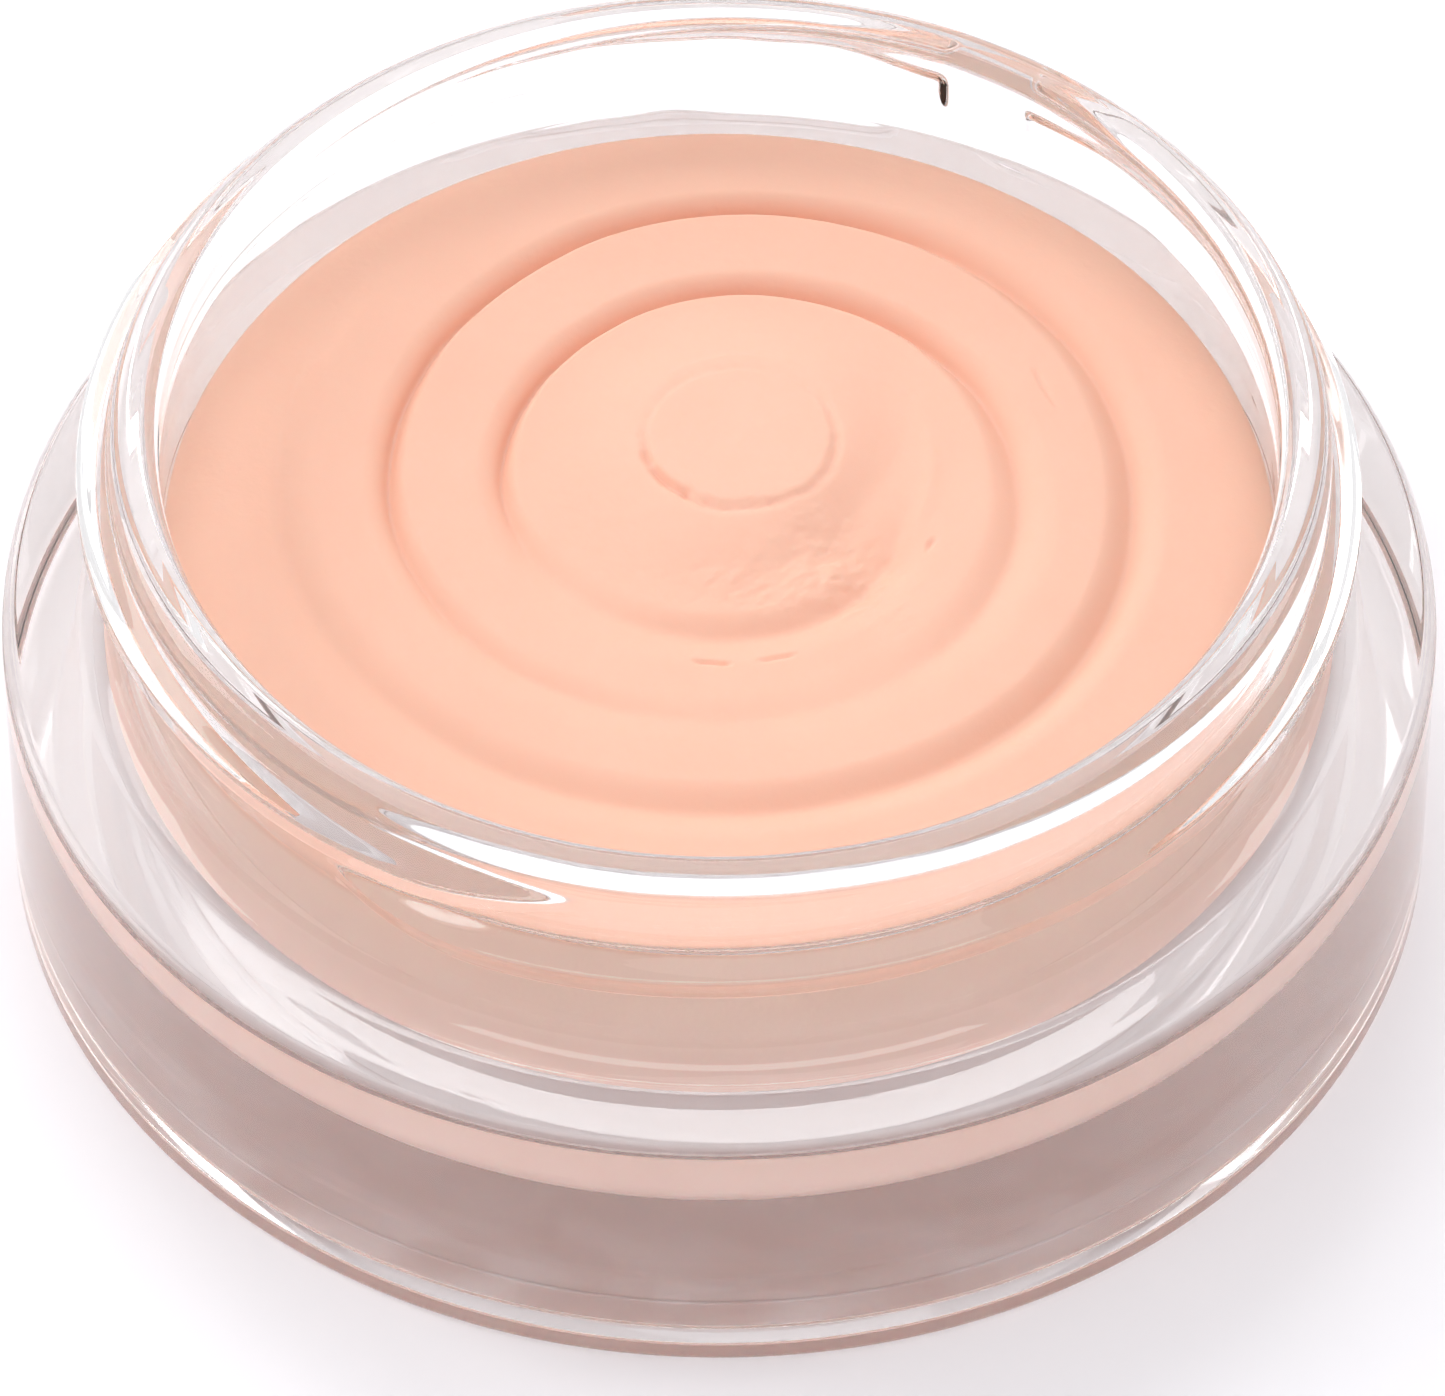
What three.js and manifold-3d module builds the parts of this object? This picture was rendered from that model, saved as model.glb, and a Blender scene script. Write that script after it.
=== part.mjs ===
// Open glass cream jar with its fill. Millimetres, +Z up, origin at the centre of the base on the
// plane the jar stands on.
//
// jar_body   one piece of pressed clear glass: heavy base on a narrow ring foot at its edge, with a
//            shallow recess underneath, flat shoulder ring, neck with one moulded screw thread,
//            rounded lip, straight bore and a thick floor.
// cream_fill the moulded mass of cream in the bore, crowned a little and stepped in a flat swirl.

import * as THREE from 'three';
import * as BufferGeometryUtils from 'three/addons/utils/BufferGeometryUtils.js';
import Module from 'manifold-3d';

// ---------- driving dimensions (mm) ----------
const HEIGHT = 21.6; // base plane to the top of the lip
const BASE_R = 26.6; // outside of the heavy base
const SHOULDER_Z = 11.85; // flat shoulder ring
const SHOULDER_EDGE_R = 0.55; // round on the shoulder's outer edge
const HEEL_R = 0.45; // round at the bottom of the base wall
const FOOT_OUTER_R = 26.15; // flat of the ring foot, outer edge
const FOOT_INNER_R = 24.9; // flat of the ring foot, inner edge
const RECESS_R = 23.9; // recess under the base, inside the foot's sloped inner face
const RECESS_DEPTH = 0.45;
const PUNT_R = 18.5; // middle of the recess, a hair deeper
const PUNT_DEPTH = 0.5;
const NECK_R = 22.4; // plain neck wall between the threads
const NECK_FILLET = 1.45; // neck wall to shoulder ring
const BORE_R = 20.5; // straight bore
const FLOOR_Z = 5.25; // inside floor
const BORE_CORNER = 1.1; // round between bore and floor
const LIP_OUTER = 0.85; // round on the outside of the lip
const LIP_INNER = 0.7; // round on the inside; a narrow flat land is left between them

const THREAD_CREST_R = 23.55; // a 48 mm neck finish measures about 47.1 mm over the thread
const THREAD_HALF_HEIGHT = 1.08;
const THREAD_PITCH = 2.7;
const THREAD_START_DEG = -103; // upper end; the thread runs down clockwise seen from above
const THREAD_END_DEG = -488; // lower end, a little over one turn later
const THREAD_START_Z = 19.95; // bead centre height at the upper end
const THREAD_TAPER_DEG = 17; // run-in and run-out of the bead
const VENT_FROM_DEG = -294; // the bead stops on both sides of the mould parting line
const VENT_TO_DEG = -302;
const VENT_TAPER_DEG = 3.5;
const THREAD_ROOT_SINK = 0.5; // how far the bead's body reaches into the neck wall

const FILL_GAP = 0.3; // between the cream and the glass
const FILL_EDGE_Z = 15.4; // cream level at the wall
const FILL_CROWN_Z = 16.2; // cream level across the swirl
const SWIRL_PITCH = 4.2;
const SWIRL_STEP = 0.35;
const BUTTON_R = 3.4; // raised round in the middle of the swirl, set off towards +Y
const BUTTON_X = 0.5;
const BUTTON_Y = 3.4;
const BUTTON_Z = 17.0;

const SEGMENTS = 72;
const FILL_SEGMENTS = 60;
const THREAD_STEP_DEG = 5;

// ---------- helpers ----------
const deg = THREE.MathUtils.degToRad;

// Arc points in the (radius, height) plane, angles in degrees, both ends included.
function arc(cx, cz, r, from, to, steps) {
  const points = [];
  for (let i = 0; i <= steps; i += 1) {
    const a = deg(from + ((to - from) * i) / steps);
    points.push([cx + r * Math.cos(a), cz + r * Math.sin(a)]);
  }
  return points;
}

// A closed profile of [radius, height] points, counter-clockwise, turned about Z.
function turned(points, segments) {
  const profile = points.map(([r, z]) => new THREE.Vector2(Math.max(r, 0), z));
  const geometry = new THREE.LatheGeometry(profile, segments);
  geometry.rotateX(Math.PI / 2); // lathe axis Y becomes Z
  return geometry;
}

function welded(geometry) {
  const copy = geometry.clone();
  copy.deleteAttribute('normal');
  copy.deleteAttribute('uv');
  return BufferGeometryUtils.mergeVertices(copy, 1e-4);
}

const wasm = await Module();
wasm.setup();

// A solid from a closed geometry. A geometry whose faces point in is turned round first.
function solid(geometry) {
  const g = welded(geometry);
  const position = g.attributes.position;
  const index = Array.from(g.index.array);
  const triangles = [];
  let volume = 0;
  const a = new THREE.Vector3();
  const b = new THREE.Vector3();
  const c = new THREE.Vector3();
  for (let i = 0; i < index.length; i += 3) {
    const [p, q, r] = [index[i], index[i + 1], index[i + 2]];
    if (p === q || q === r || r === p) continue;
    a.fromBufferAttribute(position, p);
    b.fromBufferAttribute(position, q);
    c.fromBufferAttribute(position, r);
    volume += a.dot(b.cross(c)) / 6;
    triangles.push(p, q, r);
  }
  if (volume < 0) {
    for (let i = 0; i < triangles.length; i += 3) {
      [triangles[i + 1], triangles[i + 2]] = [triangles[i + 2], triangles[i + 1]];
    }
  }
  return new wasm.Manifold(new wasm.Mesh({
    numProp: 3,
    vertProperties: new Float32Array(position.array),
    triVerts: new Uint32Array(triangles),
  }));
}

function toGeometry(manifold) {
  const mesh = manifold.getMesh();
  const geometry = new THREE.BufferGeometry();
  const positions = new Float32Array((mesh.vertProperties.length / mesh.numProp) * 3);
  for (let i = 0; i < positions.length / 3; i += 1) {
    positions[3 * i] = mesh.vertProperties[mesh.numProp * i];
    positions[3 * i + 1] = mesh.vertProperties[mesh.numProp * i + 1];
    positions[3 * i + 2] = mesh.vertProperties[mesh.numProp * i + 2];
  }
  geometry.setAttribute('position', new THREE.BufferAttribute(positions, 3));
  geometry.setIndex(new THREE.BufferAttribute(new Uint32Array(mesh.triVerts), 1));
  geometry.computeVertexNormals();
  return geometry;
}

// ---------- jar_body ----------
// The lip is rounded on both sides, with a narrow flat land on top.
const outsideOfJar = [
  [0, PUNT_DEPTH],
  [PUNT_R, PUNT_DEPTH],
  [PUNT_R + 0.6, RECESS_DEPTH],
  [RECESS_R, RECESS_DEPTH],
  [FOOT_INNER_R, 0],
  [FOOT_OUTER_R, 0],
  ...arc(BASE_R - HEEL_R, HEEL_R, HEEL_R, -60, 0, 3),
  ...arc(BASE_R - SHOULDER_EDGE_R, SHOULDER_Z - SHOULDER_EDGE_R, SHOULDER_EDGE_R, 0, 90, 3),
  ...arc(NECK_R + NECK_FILLET, SHOULDER_Z + NECK_FILLET, NECK_FILLET, 270, 180, 3),
  ...arc(NECK_R - LIP_OUTER, HEIGHT - LIP_OUTER, LIP_OUTER, 0, 90, 4),
  ...arc(BORE_R + LIP_INNER, HEIGHT - LIP_INNER, LIP_INNER, 90, 180, 4),
  ...arc(BORE_R - BORE_CORNER, FLOOR_Z + BORE_CORNER, BORE_CORNER, 0, -90, 4),
  [0, FLOOR_Z],
];
const blank = solid(turned(outsideOfJar, SEGMENTS));

// The thread: a rounded bead swept along a helix as a skin of rings with closed ends.
function smooth(t) {
  const u = Math.min(Math.max(t, 0), 1);
  return u * u * (3 - 2 * u);
}

function threadHeight(angle) {
  return THREAD_START_Z - ((THREAD_START_DEG - angle) / 360) * THREAD_PITCH;
}

function threadBead(from, to, taperFrom, taperTo) {
  const count = Math.ceil((from - to) / THREAD_STEP_DEG);
  const angles = [];
  for (let i = 0; i <= count; i += 1) angles.push(from - ((from - to) * i) / count);
  // extra rings where the bead runs in and out
  for (const f of [0.08, 0.22, 0.42, 0.68]) {
    angles.push(from - taperFrom * f, to + taperTo * f);
  }
  angles.sort((p, q) => q - p);
  const stations = angles.filter((v, i) => i === 0 || angles[i - 1] - v > 0.15);
  const rings = [];
  for (const angle of stations) {
    const grow = Math.min(smooth((from - angle) / taperFrom), smooth((angle - to) / taperTo));
    const size = 0.12 + 0.88 * Math.sqrt(grow);
    const half = THREAD_HALF_HEIGHT * (0.45 + 0.55 * Math.sqrt(grow));
    const reach = (THREAD_CREST_R - NECK_R) * size;
    const z = threadHeight(angle);
    const section = [
      [NECK_R - THREAD_ROOT_SINK, -half],
      [NECK_R + 0.02, -half],
      [NECK_R + reach * 0.55, -half * 0.78],
      [NECK_R + reach * 0.93, -half * 0.4],
      [NECK_R + reach, 0],
      [NECK_R + reach * 0.93, half * 0.4],
      [NECK_R + reach * 0.55, half * 0.78],
      [NECK_R + 0.02, half],
      [NECK_R - THREAD_ROOT_SINK, half],
    ];
    const a = deg(angle);
    rings.push(section.map(([r, dz]) => [r * Math.cos(a), r * Math.sin(a), z + dz]));
  }
  const sides = rings[0].length;
  const positions = rings.flat(2);
  const index = [];
  for (let i = 0; i + 1 < rings.length; i += 1) {
    for (let j = 0; j < sides; j += 1) {
      const p = i * sides + j;
      const q = i * sides + ((j + 1) % sides);
      index.push(p, p + sides, q, q, p + sides, q + sides);
    }
  }
  for (let j = 1; j + 1 < sides; j += 1) {
    index.push(0, j, j + 1);
    const last = (rings.length - 1) * sides;
    index.push(last, last + j + 1, last + j);
  }
  const geometry = new THREE.BufferGeometry();
  geometry.setAttribute('position', new THREE.BufferAttribute(new Float32Array(positions), 3));
  geometry.setIndex(index);
  return geometry;
}

const upperBead = solid(threadBead(THREAD_START_DEG, VENT_FROM_DEG, THREAD_TAPER_DEG, VENT_TAPER_DEG));
const lowerBead = solid(threadBead(VENT_TO_DEG, THREAD_END_DEG, VENT_TAPER_DEG, THREAD_TAPER_DEG));
const glass = blank.add(upperBead).add(lowerBead);

const jarBody = new THREE.Mesh(
  toGeometry(glass),
  new THREE.MeshStandardMaterial({
    color: 0xeff3f1, roughness: 0.03, metalness: 0, transparent: true, opacity: 0.35,
  }),
);
jarBody.name = 'jar_body';

// ---------- cream_fill ----------
// A turned mass with low concentric steps, and a raised round joined on where the swirl ends.
const fillR = BORE_R - FILL_GAP;
const fillCorner = BORE_CORNER;
const fillBottom = FLOOR_Z + FILL_GAP;
const steps = [];
for (let r = fillR - 2.2; r > SWIRL_PITCH; r -= SWIRL_PITCH) {
  steps.push([r, FILL_CROWN_Z], [r - 0.35, FILL_CROWN_Z - SWIRL_STEP], [r - 0.7, FILL_CROWN_Z]);
}
const fillProfile = [
  [0, fillBottom],
  ...arc(fillR - fillCorner, fillBottom + fillCorner, fillCorner, -90, 0, 3),
  [fillR, FILL_EDGE_Z],
  [fillR - 0.5, FILL_EDGE_Z + 0.35],
  [fillR - 1.3, FILL_CROWN_Z - 0.1],
  ...steps,
  [0, FILL_CROWN_Z],
];
const mass = solid(turned(fillProfile, FILL_SEGMENTS));
const buttonProfile = [
  [0, FILL_CROWN_Z - 1.5],
  [BUTTON_R, FILL_CROWN_Z - 1.5],
  [BUTTON_R, BUTTON_Z - 0.35],
  [BUTTON_R - 0.4, BUTTON_Z],
  [0, BUTTON_Z],
];
const buttonGeometry = turned(buttonProfile, 40);
buttonGeometry.translate(BUTTON_X, BUTTON_Y, 0);
const cream = mass.add(solid(buttonGeometry));

const creamFill = new THREE.Mesh(
  toGeometry(cream),
  new THREE.MeshStandardMaterial({ color: 0xfacbb0, roughness: 0.75, metalness: 0 }),
);
creamFill.name = 'cream_fill';

const jar = new THREE.Group();
jar.add(jarBody, creamFill);

export default jar;
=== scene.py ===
import math

import bpy
import numpy as np
from mathutils import Matrix, Vector


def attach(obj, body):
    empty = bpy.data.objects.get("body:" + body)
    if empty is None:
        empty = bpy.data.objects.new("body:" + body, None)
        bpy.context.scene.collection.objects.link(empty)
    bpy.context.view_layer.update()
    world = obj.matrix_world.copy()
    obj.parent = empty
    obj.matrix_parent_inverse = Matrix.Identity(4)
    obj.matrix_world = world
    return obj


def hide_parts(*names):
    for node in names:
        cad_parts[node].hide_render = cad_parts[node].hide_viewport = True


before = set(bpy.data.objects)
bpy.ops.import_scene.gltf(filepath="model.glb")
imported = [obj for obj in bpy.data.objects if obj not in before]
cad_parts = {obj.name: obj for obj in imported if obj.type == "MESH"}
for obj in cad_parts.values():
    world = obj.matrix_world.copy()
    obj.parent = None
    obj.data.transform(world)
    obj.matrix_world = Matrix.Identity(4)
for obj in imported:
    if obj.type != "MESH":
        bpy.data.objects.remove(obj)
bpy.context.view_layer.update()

MM = 0.001

# ---------------------------------------------------------------- sizes, in mm
# The same driving sizes as the CAD part.
HEIGHT = 21.6
BASE_R = 26.6
SHOULDER_Z = 11.85
SHOULDER_EDGE_R = 0.55
HEEL_R = 0.45
FOOT_OUTER_R = 26.15
FOOT_INNER_R = 24.9
RECESS_R = 23.9
RECESS_DEPTH = 0.45
PUNT_R = 18.5
PUNT_DEPTH = 0.5
NECK_R = 22.4
NECK_FILLET = 1.45
BORE_R = 20.5
FLOOR_Z = 5.25
BORE_CORNER = 1.1
LIP_OUTER = 0.85
LIP_INNER = 0.7
STIPPLE_LOW, STIPPLE_HIGH = 0.42, 0.62

THREAD_CREST_R = 23.55
THREAD_HALF_HEIGHT = 1.08
THREAD_PITCH = 2.7
THREAD_START_DEG = -103.0
THREAD_END_DEG = -488.0
THREAD_START_Z = 19.95
THREAD_TAPER_DEG = 17.0
VENT_FROM_DEG = -294.0
VENT_TO_DEG = -302.0
VENT_TAPER_DEG = 1.6
VENT_FADE_DEG = 14.0
THREAD_FLAT = 0.28
THREAD_LOW_Z = 15.8

FILL_EDGE_Z = 15.4
FILL_CROWN_Z = 16.2


# ---------------------------------------------------------------- small helpers
def smooth(t):
    t = np.clip(t, 0.0, 1.0)
    return t * t * (3.0 - 2.0 * t)


def hash01(*cells):
    """A repeatable value from 0 to 1 for integer grid cells."""
    v = np.zeros(np.broadcast(*cells).shape)
    for k, c in zip((127.1, 311.7, 74.7), cells):
        v = v + np.asarray(c, float) * k
    s = np.sin(v) * 43758.5453
    return s - np.floor(s)


def value_noise(x, y):
    """Smooth noise from -1 to 1 over the plane, one feature per unit."""
    xi, yi = np.floor(x), np.floor(y)
    fx, fy = smooth(x - xi), smooth(y - yi)
    a = hash01(xi, yi, 0.0 * xi)
    b = hash01(xi + 1, yi, 0.0 * xi)
    c = hash01(xi, yi + 1, 0.0 * xi)
    d = hash01(xi + 1, yi + 1, 0.0 * xi)
    return ((a * (1 - fx) + b * fx) * (1 - fy) + (c * (1 - fx) + d * fx) * fy) * 2 - 1


def layered_noise(x, y, octaves=3, gain=0.5):
    total, weight, norm = 0.0, 1.0, 0.0
    for k in range(octaves):
        total = total + weight * value_noise(x * 2**k + 17.3 * k, y * 2**k - 9.1 * k)
        norm += weight
        weight *= gain
    return total / norm


def arc(cx, cz, r, a0, a1, n):
    return [
        (cx + r * math.cos(math.radians(a0 + (a1 - a0) * i / n)),
         cz + r * math.sin(math.radians(a0 + (a1 - a0) * i / n)))
        for i in range(n + 1)
    ]


def filled(points, step):
    """The same polyline with points added so that no stretch is longer than step."""
    out = [points[0]]
    for (r0, z0), (r1, z1) in zip(points, points[1:]):
        n = max(1, math.ceil(math.hypot(r1 - r0, z1 - z0) / step))
        out += [(r0 + (r1 - r0) * i / n, z0 + (z1 - z0) * i / n) for i in range(1, n + 1)]
    return out


def crisp(points, near=0.05):
    """Extra points close to each corner, so that smooth shading stays flat right up to it."""
    out = [points[0]]
    for i in range(1, len(points) - 1):
        (r0, z0), (r1, z1), (r2, z2) = points[i - 1], points[i], points[i + 1]
        before, after = math.hypot(r1 - r0, z1 - z0), math.hypot(r2 - r1, z2 - z1)
        bend = abs((r1 - r0) * (z2 - z1) - (z1 - z0) * (r2 - r1)) / (before * after)
        if bend > 0.01 and before > 4 * near:
            out.append((r1 - (r1 - r0) * near / before, z1 - (z1 - z0) * near / before))
        out.append((r1, z1))
        if bend > 0.01 and after > 4 * near:
            out.append((r1 + (r2 - r1) * near / after, z1 + (z2 - z1) * near / after))
    return out + [points[-1]]


def grid_mesh(name, rows, low_pole, high_pole):
    """A closed mesh from rows of points, each row a full turn, with a pole at each end."""
    n_rows, n_seg = rows.shape[:2]
    verts = np.concatenate([rows.reshape(-1, 3), [low_pole], [high_pole]]) * MM
    faces = []
    for i in range(n_rows - 1):
        a, b = i * n_seg, (i + 1) * n_seg
        for j in range(n_seg):
            k = (j + 1) % n_seg
            faces.append((a + j, a + k, b + k, b + j))
    low, high = n_rows * n_seg, n_rows * n_seg + 1
    last = (n_rows - 1) * n_seg
    for j in range(n_seg):
        k = (j + 1) % n_seg
        faces.append((low, k, j))
        faces.append((high, last + j, last + k))
    mesh = bpy.data.meshes.new(name)
    mesh.from_pydata(verts.tolist(), [], faces)
    mesh.update()
    mesh.shade_smooth()
    obj = bpy.data.objects.new(name, mesh)
    bpy.context.scene.collection.objects.link(obj)
    return obj


# ---------------------------------------------------------------- the glass jar
def bead(theta, z):
    """How far the thread stands off the neck wall, at an angle in degrees and a height."""
    out = np.zeros(np.broadcast(theta, z).shape)
    for turn in (-1, -2):
        a = np.where(theta > THREAD_START_DEG, theta - 360.0, theta) + 360.0 * (turn + 1)
        centre = THREAD_START_Z - (THREAD_START_DEG - a) / 360.0 * THREAD_PITCH
        grow = np.minimum(
            smooth((THREAD_START_DEG - a) / THREAD_TAPER_DEG),
            smooth((a - THREAD_END_DEG) / THREAD_TAPER_DEG),
        )
        past = np.where(a > 0.5 * (VENT_FROM_DEG + VENT_TO_DEG), a - VENT_FROM_DEG, VENT_TO_DEG - a)
        gap = smooth(past / VENT_TAPER_DEG) * (0.35 + 0.65 * smooth(past / VENT_FADE_DEG))
        half = THREAD_HALF_HEIGHT * (0.45 + 0.55 * np.sqrt(grow))
        t = np.abs(z - centre) / half
        shape = smooth((1.0 - t) / (1.0 - THREAD_FLAT))
        shape = np.where(z < centre, shape**0.55, shape)
        on = (a <= THREAD_START_DEG) & (a >= THREAD_END_DEG)
        out = np.maximum(out, np.where(on, (THREAD_CREST_R - NECK_R) * np.sqrt(grow) * gap * shape, 0))
    return out


def jar_profile():
    foot = [
        (0.6, PUNT_DEPTH), (PUNT_R - 0.6, PUNT_DEPTH),
        (PUNT_R, PUNT_DEPTH - 0.02), (PUNT_R + 0.5, RECESS_DEPTH + 0.02), (PUNT_R + 0.9, RECESS_DEPTH),
        (21.45, RECESS_DEPTH), (21.6, RECESS_DEPTH + 0.1), (21.75, RECESS_DEPTH),
        (RECESS_R - 0.12, RECESS_DEPTH), (RECESS_R + 0.1, RECESS_DEPTH - 0.07),
        (FOOT_INNER_R - 0.1, 0.05), (FOOT_INNER_R + 0.06, 0),
        (FOOT_OUTER_R, 0),
    ]
    heel = arc(BASE_R - HEEL_R, HEEL_R, HEEL_R, -80, 0, 12)
    edge = arc(BASE_R - SHOULDER_EDGE_R, SHOULDER_Z - SHOULDER_EDGE_R, SHOULDER_EDGE_R, 0, 90, 12)
    fillet = arc(NECK_R + NECK_FILLET, SHOULDER_Z + NECK_FILLET, NECK_FILLET, 270, 180, 12)
    low = foot + heel + edge + fillet
    neck_top = HEIGHT - LIP_OUTER
    neck = [(NECK_R, THREAD_LOW_Z)]
    lip_arc = arc(NECK_R - LIP_OUTER, neck_top, LIP_OUTER, 0, 90, 14)
    lip_arc += arc(BORE_R + LIP_INNER, HEIGHT - LIP_INNER, LIP_INNER, 90, 180, 12)
    corner = arc(BORE_R - BORE_CORNER, FLOOR_Z + BORE_CORNER, BORE_CORNER, 0, -90, 10)
    low = filled(crisp(low + neck), 1.2)
    neck = filled([(NECK_R, THREAD_LOW_Z), (NECK_R, neck_top)], 0.062)[1:-1]
    inside = crisp([lip_arc[-2], lip_arc[-1], *corner, (0.6, FLOOR_Z)])[2:]
    inside = filled([lip_arc[-1], *inside], 2.0)[1:]
    lip_arc = lip_arc[:14] + crisp(lip_arc[13:17], 0.03)[1:-1] + lip_arc[16:]
    return low, neck, lip_arc, inside


def make_jar():
    low, neck, lip_arc, inside = jar_profile()
    theta = list(np.arange(0.0, 360.0, 1.0))
    for end in (VENT_FROM_DEG, VENT_TO_DEG):
        theta += [end + 360 + d for d in np.arange(-2.0, 2.01, 0.25)]
    theta = np.unique(np.round(np.array(theta), 3))
    # drop plain steps that fall right beside a finer one
    theta = np.array([t for i, t in enumerate(theta) if i == 0 or t - theta[i - 1] > 0.05])
    th = np.radians(theta)
    pts = np.array(low + neck + lip_arc + inside)
    r = np.repeat(pts[:, :1], len(theta), 1)
    z = np.repeat(pts[:, 1:], len(theta), 1)
    tt = np.where(theta > 257, theta - 360, theta)[None, :]
    tt = np.where(tt > THREAD_START_DEG, tt - 360, tt) + 0 * z
    n0, n1 = len(low), len(low) + len(neck)
    top = n1 + 14
    r[n0:top] += bead(tt[n0:top], z[n0:top]) * np.clip(
        (HEIGHT - z[n0:top]) / 0.6, 0, 1) ** 0.5
    # fire-polished glass is never quite true: slow waves in the lip and neck
    wave = 0.010 * layered_noise(th[None, :] * 6 + 0 * z, z * 0.25, 2)
    fade = np.zeros(len(pts))
    fade[n0:n1 + len(lip_arc)] = 1.0
    r = r + wave * fade[:, None]
    rows = np.stack([r * np.cos(th), r * np.sin(th), z], -1)
    return grid_mesh("glass_jar", rows, (0, 0, PUNT_DEPTH), (0, 0, FLOOR_Z))


# ---------------------------------------------------------------- the whipped cream
SWIRL_X, SWIRL_Y = 0.5, 1.9
SWIRL_FIRST, SWIRL_STEP = 7.4, 4.2
# turns run clockwise from the -Y side: (turns, groove depth, softness, inner width)
SWIRL_CUT = (
    (-0.24, 0.00, 1.0, 0.9), (-0.16, 0.30, 0.9, 0.9), (-0.06, 0.44, 0.8, 0.9), (0.04, 0.34, 0.9, 0.9),
    (0.13, 0.20, 1.0, 1.0), (0.21, 0.42, 0.3, 0.6), (0.30, 0.72, 0.0, 0.5), (0.50, 0.92, 0.0, 0.45),
    (0.62, 0.78, 0.1, 0.6), (0.72, 0.55, 0.5, 0.9), (0.82, 0.36, 0.8, 1.1), (0.92, 0.12, 1.0, 1.2),
    (1.02, 0.10, 0.8, 0.9), (1.10, 0.22, 0.5, 0.8), (1.20, 0.46, 0.2, 0.7), (1.28, 0.74, 0.1, 0.6),
    (1.40, 0.86, 0.0, 0.5), (1.52, 0.92, 0.0, 0.45), (1.60, 0.62, 0.3, 0.6), (1.72, 0.56, 0.5, 0.9),
    (1.86, 0.62, 0.6, 1.0), (1.98, 0.50, 0.7, 1.1), (2.10, 0.40, 0.8, 1.2), (2.22, 0.34, 0.9, 1.2),
    (2.32, 0.12, 1.0, 1.2), (2.44, 0.00, 1.0, 1.2),
)
BUTTON_X, BUTTON_Y, BUTTON_R = 0.77, 3.6, 3.5
# short dry cracks: start, end, depth
CRACKS = (
    ((-1.10, -6.70), (0.62, -6.93), 0.17), ((1.25, -6.76), (2.95, -6.40), 0.13),
    ((8.12, -0.66), (7.55, -1.54), 0.14), ((11.7, 7.9), (12.75, 5.45), 0.07),
)


def angle_bump(ang, centre, width):
    """1 at an angle in degrees, easing to 0 at width degrees either side."""
    d = np.abs((np.degrees(ang) - centre + 180) % 360 - 180)
    return smooth(1 - d / width)


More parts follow.
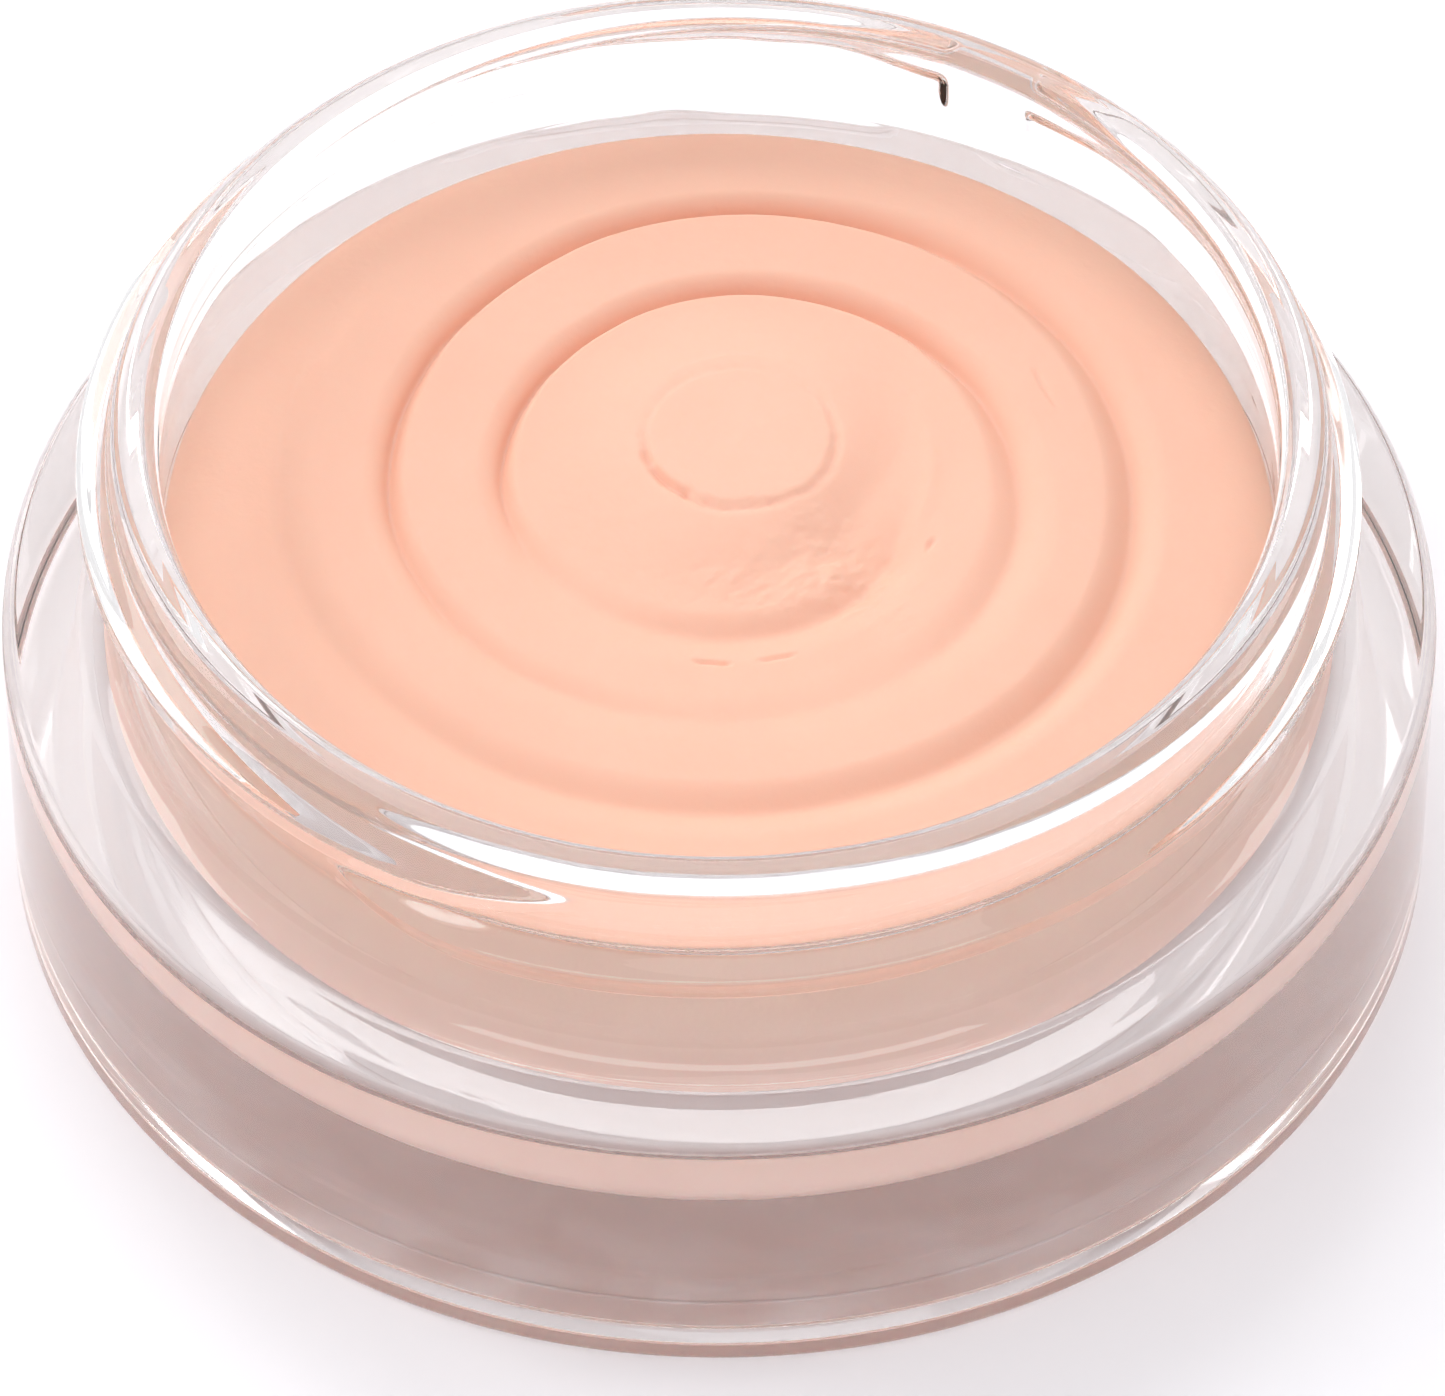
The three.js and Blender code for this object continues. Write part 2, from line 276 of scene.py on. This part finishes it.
def cream_height(x, y):
    """Height in mm of the cream's top surface at a point over the bore."""
    r = np.hypot(x, y)
    dx, dy = x - SWIRL_X, y - SWIRL_Y
    rho = np.hypot(dx, dy)
    ang = np.arctan2(dy, dx)
    wander = 0.10 * layered_noise(3.0 * np.cos(ang) + 9, 3.0 * np.sin(ang) + rho * 0.1, 2)
    back = 0.42 * np.clip(np.sin(ang), 0, 1) ** 2
    phi = (np.arctan2(-dx, -dy) / (2 * np.pi)) % 1.0
    u = (rho - back - wander - SWIRL_FIRST) / SWIRL_STEP - phi
    k = np.round(u)
    dist = (u - k) * SWIRL_STEP
    turns = k + phi
    table = np.array(SWIRL_CUT)
    deep, soft, inner = (np.interp(turns, table[:, 0], table[:, i]) for i in (1, 2, 3))
    reach = np.where(dist > 0, 0.95 + 0.65 * soft, inner)
    d = np.sqrt(dist**2 + (0.30 * soft) ** 2) - 0.30 * soft
    t = np.clip(1 - d / reach, 0, 1)
    cut = np.where(dist > 0, t**2.0, t**1.7)
    h = FILL_CROWN_Z - 1.08 * deep * cut
    h = h + 0.05 * layered_noise(x * 0.16 + 3, y * 0.16 - 5, 2)
    # rounded shoulder down to the glass
    edge = np.clip((20.5 - r) / 2.4, 0, 1)
    h = h - (FILL_CROWN_Z - FILL_EDGE_Z) * (1 - np.sqrt(1 - (1 - edge) ** 2))
    # the mound in the middle: gentle behind and to the left, falling away at the front right
    mx, my = x - BUTTON_X, y - BUTTON_Y
    m = np.hypot(mx, my)
    mang = np.arctan2(my, mx)
    fall = 4.4 - 2.0 * angle_bump(mang, -38, 95) + 1.2 * angle_bump(mang, -100, 55)
    h = h + 0.72 * (1 - smooth((m - 3.1) / fall))
    # a low arc beyond the slope on the right
    arc_r = np.hypot(x - 0.4, y - 3.0)
    h = h + 0.07 * np.exp(-(((arc_r - 7.45) / 0.35) ** 2)) * angle_bump(np.arctan2(y - 3.0, x - 0.4), -5, 45)
    # the flat button and the fine crease round it
    uneven = 0.07 * value_noise(mang * 4, 0 * mang + 3) + 0.02 * value_noise(mang * 9, 0 * mang + 8)
    db = m - BUTTON_R - uneven
    crease = 0.05 + 0.24 * angle_bump(mang, -143, 54) + 0.13 * angle_bump(mang, -88, 56) + 0.10 * angle_bump(mang, -15, 60)
    crease = crease * (1 + 0.22 * value_noise(mang * 11, 0 * mang + 1))
    h = h - crease * np.exp(-np.where(db > 0, (db / 0.24) ** 2, (db / 0.13) ** 2))
    h = h + 0.05 * smooth(-db / 0.3) * angle_bump(mang, -110, 110)
    ridge = angle_bump(mang, 95, 75)
    h = h + 0.035 * ridge * np.exp(-(((m - 4.15) / 0.16) ** 2))
    # a lumpy, dragged patch where the spatula left the mound
    drag = np.exp(-((((x - 4.6) * 0.8 + (y + 2.2) * 0.6) / 1.5) ** 2) - ((((y + 2.2) * 0.8 - (x - 4.6) * 0.6) / 2.6) ** 2))
    drag2 = np.exp(-(((x - 1.6) / 3.2) ** 2) - (((y + 3.4) / 1.3) ** 2))
    lumps = layered_noise((x * 0.8 + y * 0.6) * 1.0, (y * 0.8 - x * 0.6) * 1.9, 3, 0.6)
    h = h + 0.20 * drag * lumps + 0.10 * drag2 * lumps
    h = h - 0.36 * np.exp(-((np.hypot((x - 5.2) / 1.5, (y + 1.9) / 1.9)) ** 2))
    for (x0, y0), (x1, y1), depth in CRACKS:
        lx, ly = x1 - x0, y1 - y0
        length = math.hypot(lx, ly)
        along = ((x - x0) * lx + (y - y0) * ly) / length
        across = ((x - x0) * ly - (y - y0) * lx) / length
        bow = 0.10 * np.sin(np.clip(along / length, 0, 1) * np.pi) + 0.05 * value_noise(along * 2.5, 0 * along + y0)
        on = smooth(along / 0.45) * smooth((length - along) / 0.45)
        h = h - depth * on * np.exp(-(((across - bow) / 0.11) ** 2))
    # fine grain
    h = h + 0.009 * layered_noise(x * 2.4, y * 2.4, 2)
    return h


def make_cream():
    seg = 384
    th = np.radians(np.arange(seg) * 360.0 / seg)
    wall_r = BORE_R + 0.03
    corner = arc(BORE_R - BORE_CORNER, FLOOR_Z + BORE_CORNER, BORE_CORNER + 0.03, -90, 0, 6)
    side = filled([(0.6, FLOOR_Z - 0.03), corner[0]], 3.0) + corner[1:]
    side += filled([corner[-1], (wall_r, FILL_EDGE_Z - 0.12)], 1.2)[1:]
    rows = []
    for r, z in side:
        rows.append(np.stack([r * np.cos(th), r * np.sin(th), np.full(seg, z)], -1))
    # rings that follow the swirl inside and the bore outside
    radii = np.concatenate([
        np.arange(wall_r, 17.6, -0.115), np.arange(17.6, 2.0, -0.083), np.arange(2.0, 0.3, -0.2)])
    for radius in radii:
        shift = 1 - (radius / wall_r) ** 3
        x = SWIRL_X * shift + radius * np.cos(th)
        y = SWIRL_Y * shift + radius * np.sin(th)
        rows.append(np.stack([x, y, cream_height(x, y)], -1))
    top = float(cream_height(np.array([SWIRL_X]), np.array([SWIRL_Y]))[0])
    return grid_mesh("whipped_cream", np.array(rows), (0, 0, FLOOR_Z - 0.03), (SWIRL_X, SWIRL_Y, top))


# ---------------------------------------------------------------- materials
def new_material(name):
    m = bpy.data.materials.new(name)
    m.use_nodes = True
    nt = m.node_tree
    return m, nt, nt.nodes["Principled BSDF"]


def glass_material():
    m, nt, b = new_material("clear_pressed_glass")
    link, node = nt.links.new, nt.nodes.new
    b.inputs["Base Color"].default_value = (1, 1, 1, 1)
    b.inputs["Transmission Weight"].default_value = 1.0
    b.inputs["IOR"].default_value = 1.5
    co = node("ShaderNodeTexCoord")
    split = node("ShaderNodeSeparateXYZ")
    link(co.outputs["Object"], split.inputs["Vector"])

    # the recess under the base is stippled by the mould; everything above it is fire polished
    low = node("ShaderNodeMath")
    low.operation = "LESS_THAN"
    low.inputs[1].default_value = 0.00062
    link(split.outputs["Z"], low.inputs[0])
    high = node("ShaderNodeMath")
    high.operation = "GREATER_THAN"
    high.inputs[1].default_value = 0.00043
    link(split.outputs["Z"], high.inputs[0])
    flat = node("ShaderNodeVectorMath")
    flat.operation = "MULTIPLY"
    flat.inputs[1].default_value = (1, 1, 0)
    link(co.outputs["Object"], flat.inputs[0])
    radius = node("ShaderNodeVectorMath")
    radius.operation = "LENGTH"
    link(flat.outputs["Vector"], radius.inputs[0])
    inside = node("ShaderNodeMath")
    inside.operation = "LESS_THAN"
    inside.inputs[1].default_value = 0.0240
    link(radius.outputs["Value"], inside.inputs[0])
    both = node("ShaderNodeMath")
    both.operation = "MULTIPLY"
    link(low.outputs["Value"], both.inputs[0])
    link(high.outputs["Value"], both.inputs[1])
    recess = node("ShaderNodeMath")
    recess.operation = "MULTIPLY"
    link(both.outputs["Value"], recess.inputs[0])
    link(inside.outputs["Value"], recess.inputs[1])
    uneven = node("ShaderNodeTexNoise")
    uneven.inputs["Scale"].default_value = 330.0
    uneven.inputs["Detail"].default_value = 3.0
    link(co.outputs["Object"], uneven.inputs["Vector"])
    grade = node("ShaderNodeMapRange")
    grade.inputs["From Min"].default_value = 0.38
    grade.inputs["From Max"].default_value = 0.62
    grade.inputs["To Min"].default_value = STIPPLE_LOW
    grade.inputs["To Max"].default_value = STIPPLE_HIGH
    link(uneven.outputs["Fac"], grade.inputs["Value"])
    rough = node("ShaderNodeMath")
    rough.operation = "MULTIPLY"
    link(recess.outputs["Value"], rough.inputs[0])
    link(grade.outputs["Result"], rough.inputs[1])
    link(rough.outputs["Value"], b.inputs["Roughness"])

    # long shallow waves in the polished surface
    wave = node("ShaderNodeTexNoise")
    wave.inputs["Scale"].default_value = 180.0
    wave.inputs["Detail"].default_value = 1.0
    bump = node("ShaderNodeBump")
    bump.inputs["Strength"].default_value = 0.02
    bump.inputs["Distance"].default_value = 0.0002
    link(co.outputs["Object"], wave.inputs["Vector"])
    link(wave.outputs["Fac"], bump.inputs["Height"])
    link(bump.outputs["Normal"], b.inputs["Normal"])
    return m


def cream_material():
    m, nt, b = new_material("peach_whipped_cream")
    link, node = nt.links.new, nt.nodes.new
    b.inputs["Subsurface Weight"].default_value = 0.25
    b.inputs["Subsurface Radius"].default_value = (1.0, 0.42, 0.28)
    b.inputs["Subsurface Scale"].default_value = 0.0012
    b.inputs["Specular IOR Level"].default_value = 0.25
    co = node("ShaderNodeTexCoord")
    split = node("ShaderNodeSeparateXYZ")
    link(co.outputs["Object"], split.inputs["Vector"])

    # painted fill light: the cream against the glass wall and on the jar's floor is painted paler and pinker than
    # the warmer open top, standing in for the cool fill light that reaches it through the glass
    height = node("ShaderNodeMapRange")
    height.inputs["From Min"].default_value = 0.0050
    height.inputs["From Max"].default_value = 0.0170
    link(split.outputs["Z"], height.inputs["Value"])
    painted_fill_ramp = node("ShaderNodeValToRGB")
    stops = painted_fill_ramp.color_ramp.elements
    stops[0].position, stops[0].color = 0.0, (0.97, 0.70, 0.63, 1)
    stops[1].position, stops[1].color = 1.0, (0.865, 0.508, 0.382, 1)
    # below the fill's edge the colour is painted lighter as stand-in fill light; the top keeps the plain peach
    for position, color in (
        (0.06, (0.96, 0.68, 0.60, 1)), (0.83, (0.96, 0.68, 0.56, 1)), (0.885, (0.86, 0.495, 0.365, 1)),
    ):
        stop = stops.new(position)
        stop.color = color
    link(height.outputs["Result"], painted_fill_ramp.inputs["Fac"])

    # soft patches where it dried a little more
    patch = node("ShaderNodeTexNoise")
    patch.inputs["Scale"].default_value = 210.0
    patch.inputs["Detail"].default_value = 4.0
    patch.inputs["Roughness"].default_value = 0.6
    link(co.outputs["Object"], patch.inputs["Vector"])
    amount = node("ShaderNodeMapRange")
    amount.inputs["From Min"].default_value = 0.35
    amount.inputs["From Max"].default_value = 0.65
    amount.inputs["To Min"].default_value = 0.0
    amount.inputs["To Max"].default_value = 0.10
    link(patch.outputs["Fac"], amount.inputs["Value"])
    warm = node("ShaderNodeMix")
    warm.data_type = "RGBA"
    warm.inputs[7].default_value = (0.80, 0.40, 0.29, 1)
    link(painted_fill_ramp.outputs["Color"], warm.inputs[6])
    link(amount.outputs["Result"], warm.inputs["Factor"])
    link(warm.outputs[2], b.inputs["Base Color"])

    rough = node("ShaderNodeMapRange")
    rough.inputs["To Min"].default_value = 0.52
    rough.inputs["To Max"].default_value = 0.74
    link(patch.outputs["Fac"], rough.inputs["Value"])
    link(rough.outputs["Result"], b.inputs["Roughness"])

    # fine whipped grain with a few small pits
    grain = node("ShaderNodeTexNoise")
    grain.inputs["Scale"].default_value = 1900.0
    grain.inputs["Detail"].default_value = 4.0
    grain.inputs["Roughness"].default_value = 0.55
    pits = node("ShaderNodeTexVoronoi")
    pits.inputs["Scale"].default_value = 950.0
    link(co.outputs["Object"], grain.inputs["Vector"])
    link(co.outputs["Object"], pits.inputs["Vector"])
    pit = node("ShaderNodeMapRange")
    pit.inputs["From Min"].default_value = 0.05
    pit.inputs["From Max"].default_value = 0.16
    link(pits.outputs["Distance"], pit.inputs["Value"])
    height_sum = node("ShaderNodeMath")
    height_sum.operation = "MULTIPLY_ADD"
    height_sum.inputs[1].default_value = 0.25
    link(pit.outputs["Result"], height_sum.inputs[0])
    link(grain.outputs["Fac"], height_sum.inputs[2])
    bump = node("ShaderNodeBump")
    bump.inputs["Strength"].default_value = 0.22
    bump.inputs["Distance"].default_value = 0.00008
    link(height_sum.outputs["Value"], bump.inputs["Height"])
    link(bump.outputs["Normal"], b.inputs["Normal"])
    return m


# ---------------------------------------------------------------- build
jar = make_jar()
jar.data.materials.append(glass_material())
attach(jar, "root")
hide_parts("jar_body")

cream = make_cream()
cream.data.materials.append(cream_material())
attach(cream, "root")
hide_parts("cream_fill")

# ---------------------------------------------------------------- floor, light, camera
mesh = bpy.data.meshes.new("studio_floor")
mesh.from_pydata([(-3, -3, -0.00002), (3, -3, -0.00002), (3, 3, -0.00002), (-3, 3, -0.00002)], [], [(0, 1, 2, 3)])
floor = bpy.data.objects.new("studio_floor", mesh)
bpy.context.scene.collection.objects.link(floor)
m, nt, b = new_material("white_floor")
b.inputs["Base Color"].default_value = (0.90, 0.90, 0.93, 1)
b.inputs["Roughness"].default_value = 0.9
b.inputs["Specular IOR Level"].default_value = 0.0
b.inputs["Emission Color"].default_value = (1, 0.98, 1.0, 1)
b.inputs["Emission Strength"].default_value = 0.05
mesh.materials.append(m)

world = bpy.data.worlds.new("studio")
bpy.context.scene.world = world
world.use_nodes = True
# an even white room, a little dimmer low down and overhead
wt = world.node_tree
bg = wt.nodes["Background"]
direction = wt.nodes.new("ShaderNodeTexCoord")
split = wt.nodes.new("ShaderNodeSeparateXYZ")
ramp = wt.nodes.new("ShaderNodeValToRGB")
ramp.color_ramp.elements[0].position = 0.0
ramp.color_ramp.elements[0].color = (0.54, 0.535, 0.54, 1)
ramp.color_ramp.elements[1].position = 1.0
ramp.color_ramp.elements[1].color = (0.46, 0.46, 0.47, 1)
for place, grey in ((0.06, 0.56), (0.15, 0.60), (0.50, 0.60)):
    ramp.color_ramp.elements.new(place).color = (grey, grey * 0.99, grey, 1)
wt.links.new(direction.outputs["Generated"], split.inputs["Vector"])
wt.links.new(split.outputs["Z"], ramp.inputs["Fac"])
wt.links.new(ramp.outputs["Color"], bg.inputs["Color"])
bg.inputs["Strength"].default_value = 1.5


def softbox(name, azimuth, elevation, distance, width, height, radiance, target=(0, 0, 0.01)):
    """A rectangular light facing the target: azimuth from +Y towards +X, both in degrees."""
    light = bpy.data.lights.new(name, "AREA")
    light.shape = "RECTANGLE"
    light.size = width
    light.size_y = height
    # a flat lamp of P watts and area A has radiance P / (pi * A)
    light.energy = radiance * math.pi * width * height
    obj = bpy.data.objects.new(name, light)
    az, el = math.radians(azimuth), math.radians(elevation)
    out = Vector((math.sin(az) * math.cos(el), math.cos(az) * math.cos(el), math.sin(el)))
    side = out.cross(Vector((0, 0, 1))).normalized()
    obj.matrix_world = Matrix.Translation(Vector(target) + out * distance) @ Matrix(
        (side, out.cross(side) * -1, out)).transposed().to_4x4()
    bpy.context.scene.collection.objects.link(obj)
    return obj


key = softbox("softbox_back", -10, 58, 1.2, 0.50, 0.38, 5.1)
key.visible_glossy = False
softbox("softbox_top", 150, 76, 1.2, 0.55, 0.45, 0.9)
softbox("softbox_left", -72, 28, 1.1, 0.48, 0.80, 3.4)
softbox("softbox_back_left", -34, 18, 1.4, 0.45, 0.50, 3.6)
softbox("softbox_right", 78, 24, 1.2, 0.38, 0.66, 2.8)
# panels that only show as reflections in the glass
for panel in (
    softbox("panel_overhead", 0, 62, 1.25, 0.85, 1.35, 2.0),
    softbox("panel_front", 180, 42, 1.3, 1.80, 0.40, 3.0),
):
    panel.visible_diffuse = False

bpy.context.scene.view_settings.view_transform = "Standard"

EL, DIST = math.radians(48.6), 450.0
fwd = Vector((0, math.cos(EL), -math.sin(EL)))
right = Vector((1, 0, 0))
up = Vector((0, math.sin(EL), math.cos(EL)))
where = -fwd * DIST + 0.12 * right - 2.4 * up + Vector((0, 0, 10))
cam_data = bpy.data.cameras.new("camera")
cam_data.sensor_width = 36.0
cam_data.lens = 12100.0 / 1445.0 * 36.0
cam_data.clip_start = 0.01
cam_data.clip_end = 20.0
cam = bpy.data.objects.new("camera", cam_data)
rot = Matrix((right, up, -fwd)).transposed()
cam.matrix_world = Matrix.Translation(where * MM) @ rot.to_4x4()
bpy.context.scene.collection.objects.link(cam)
bpy.context.scene.camera = cam
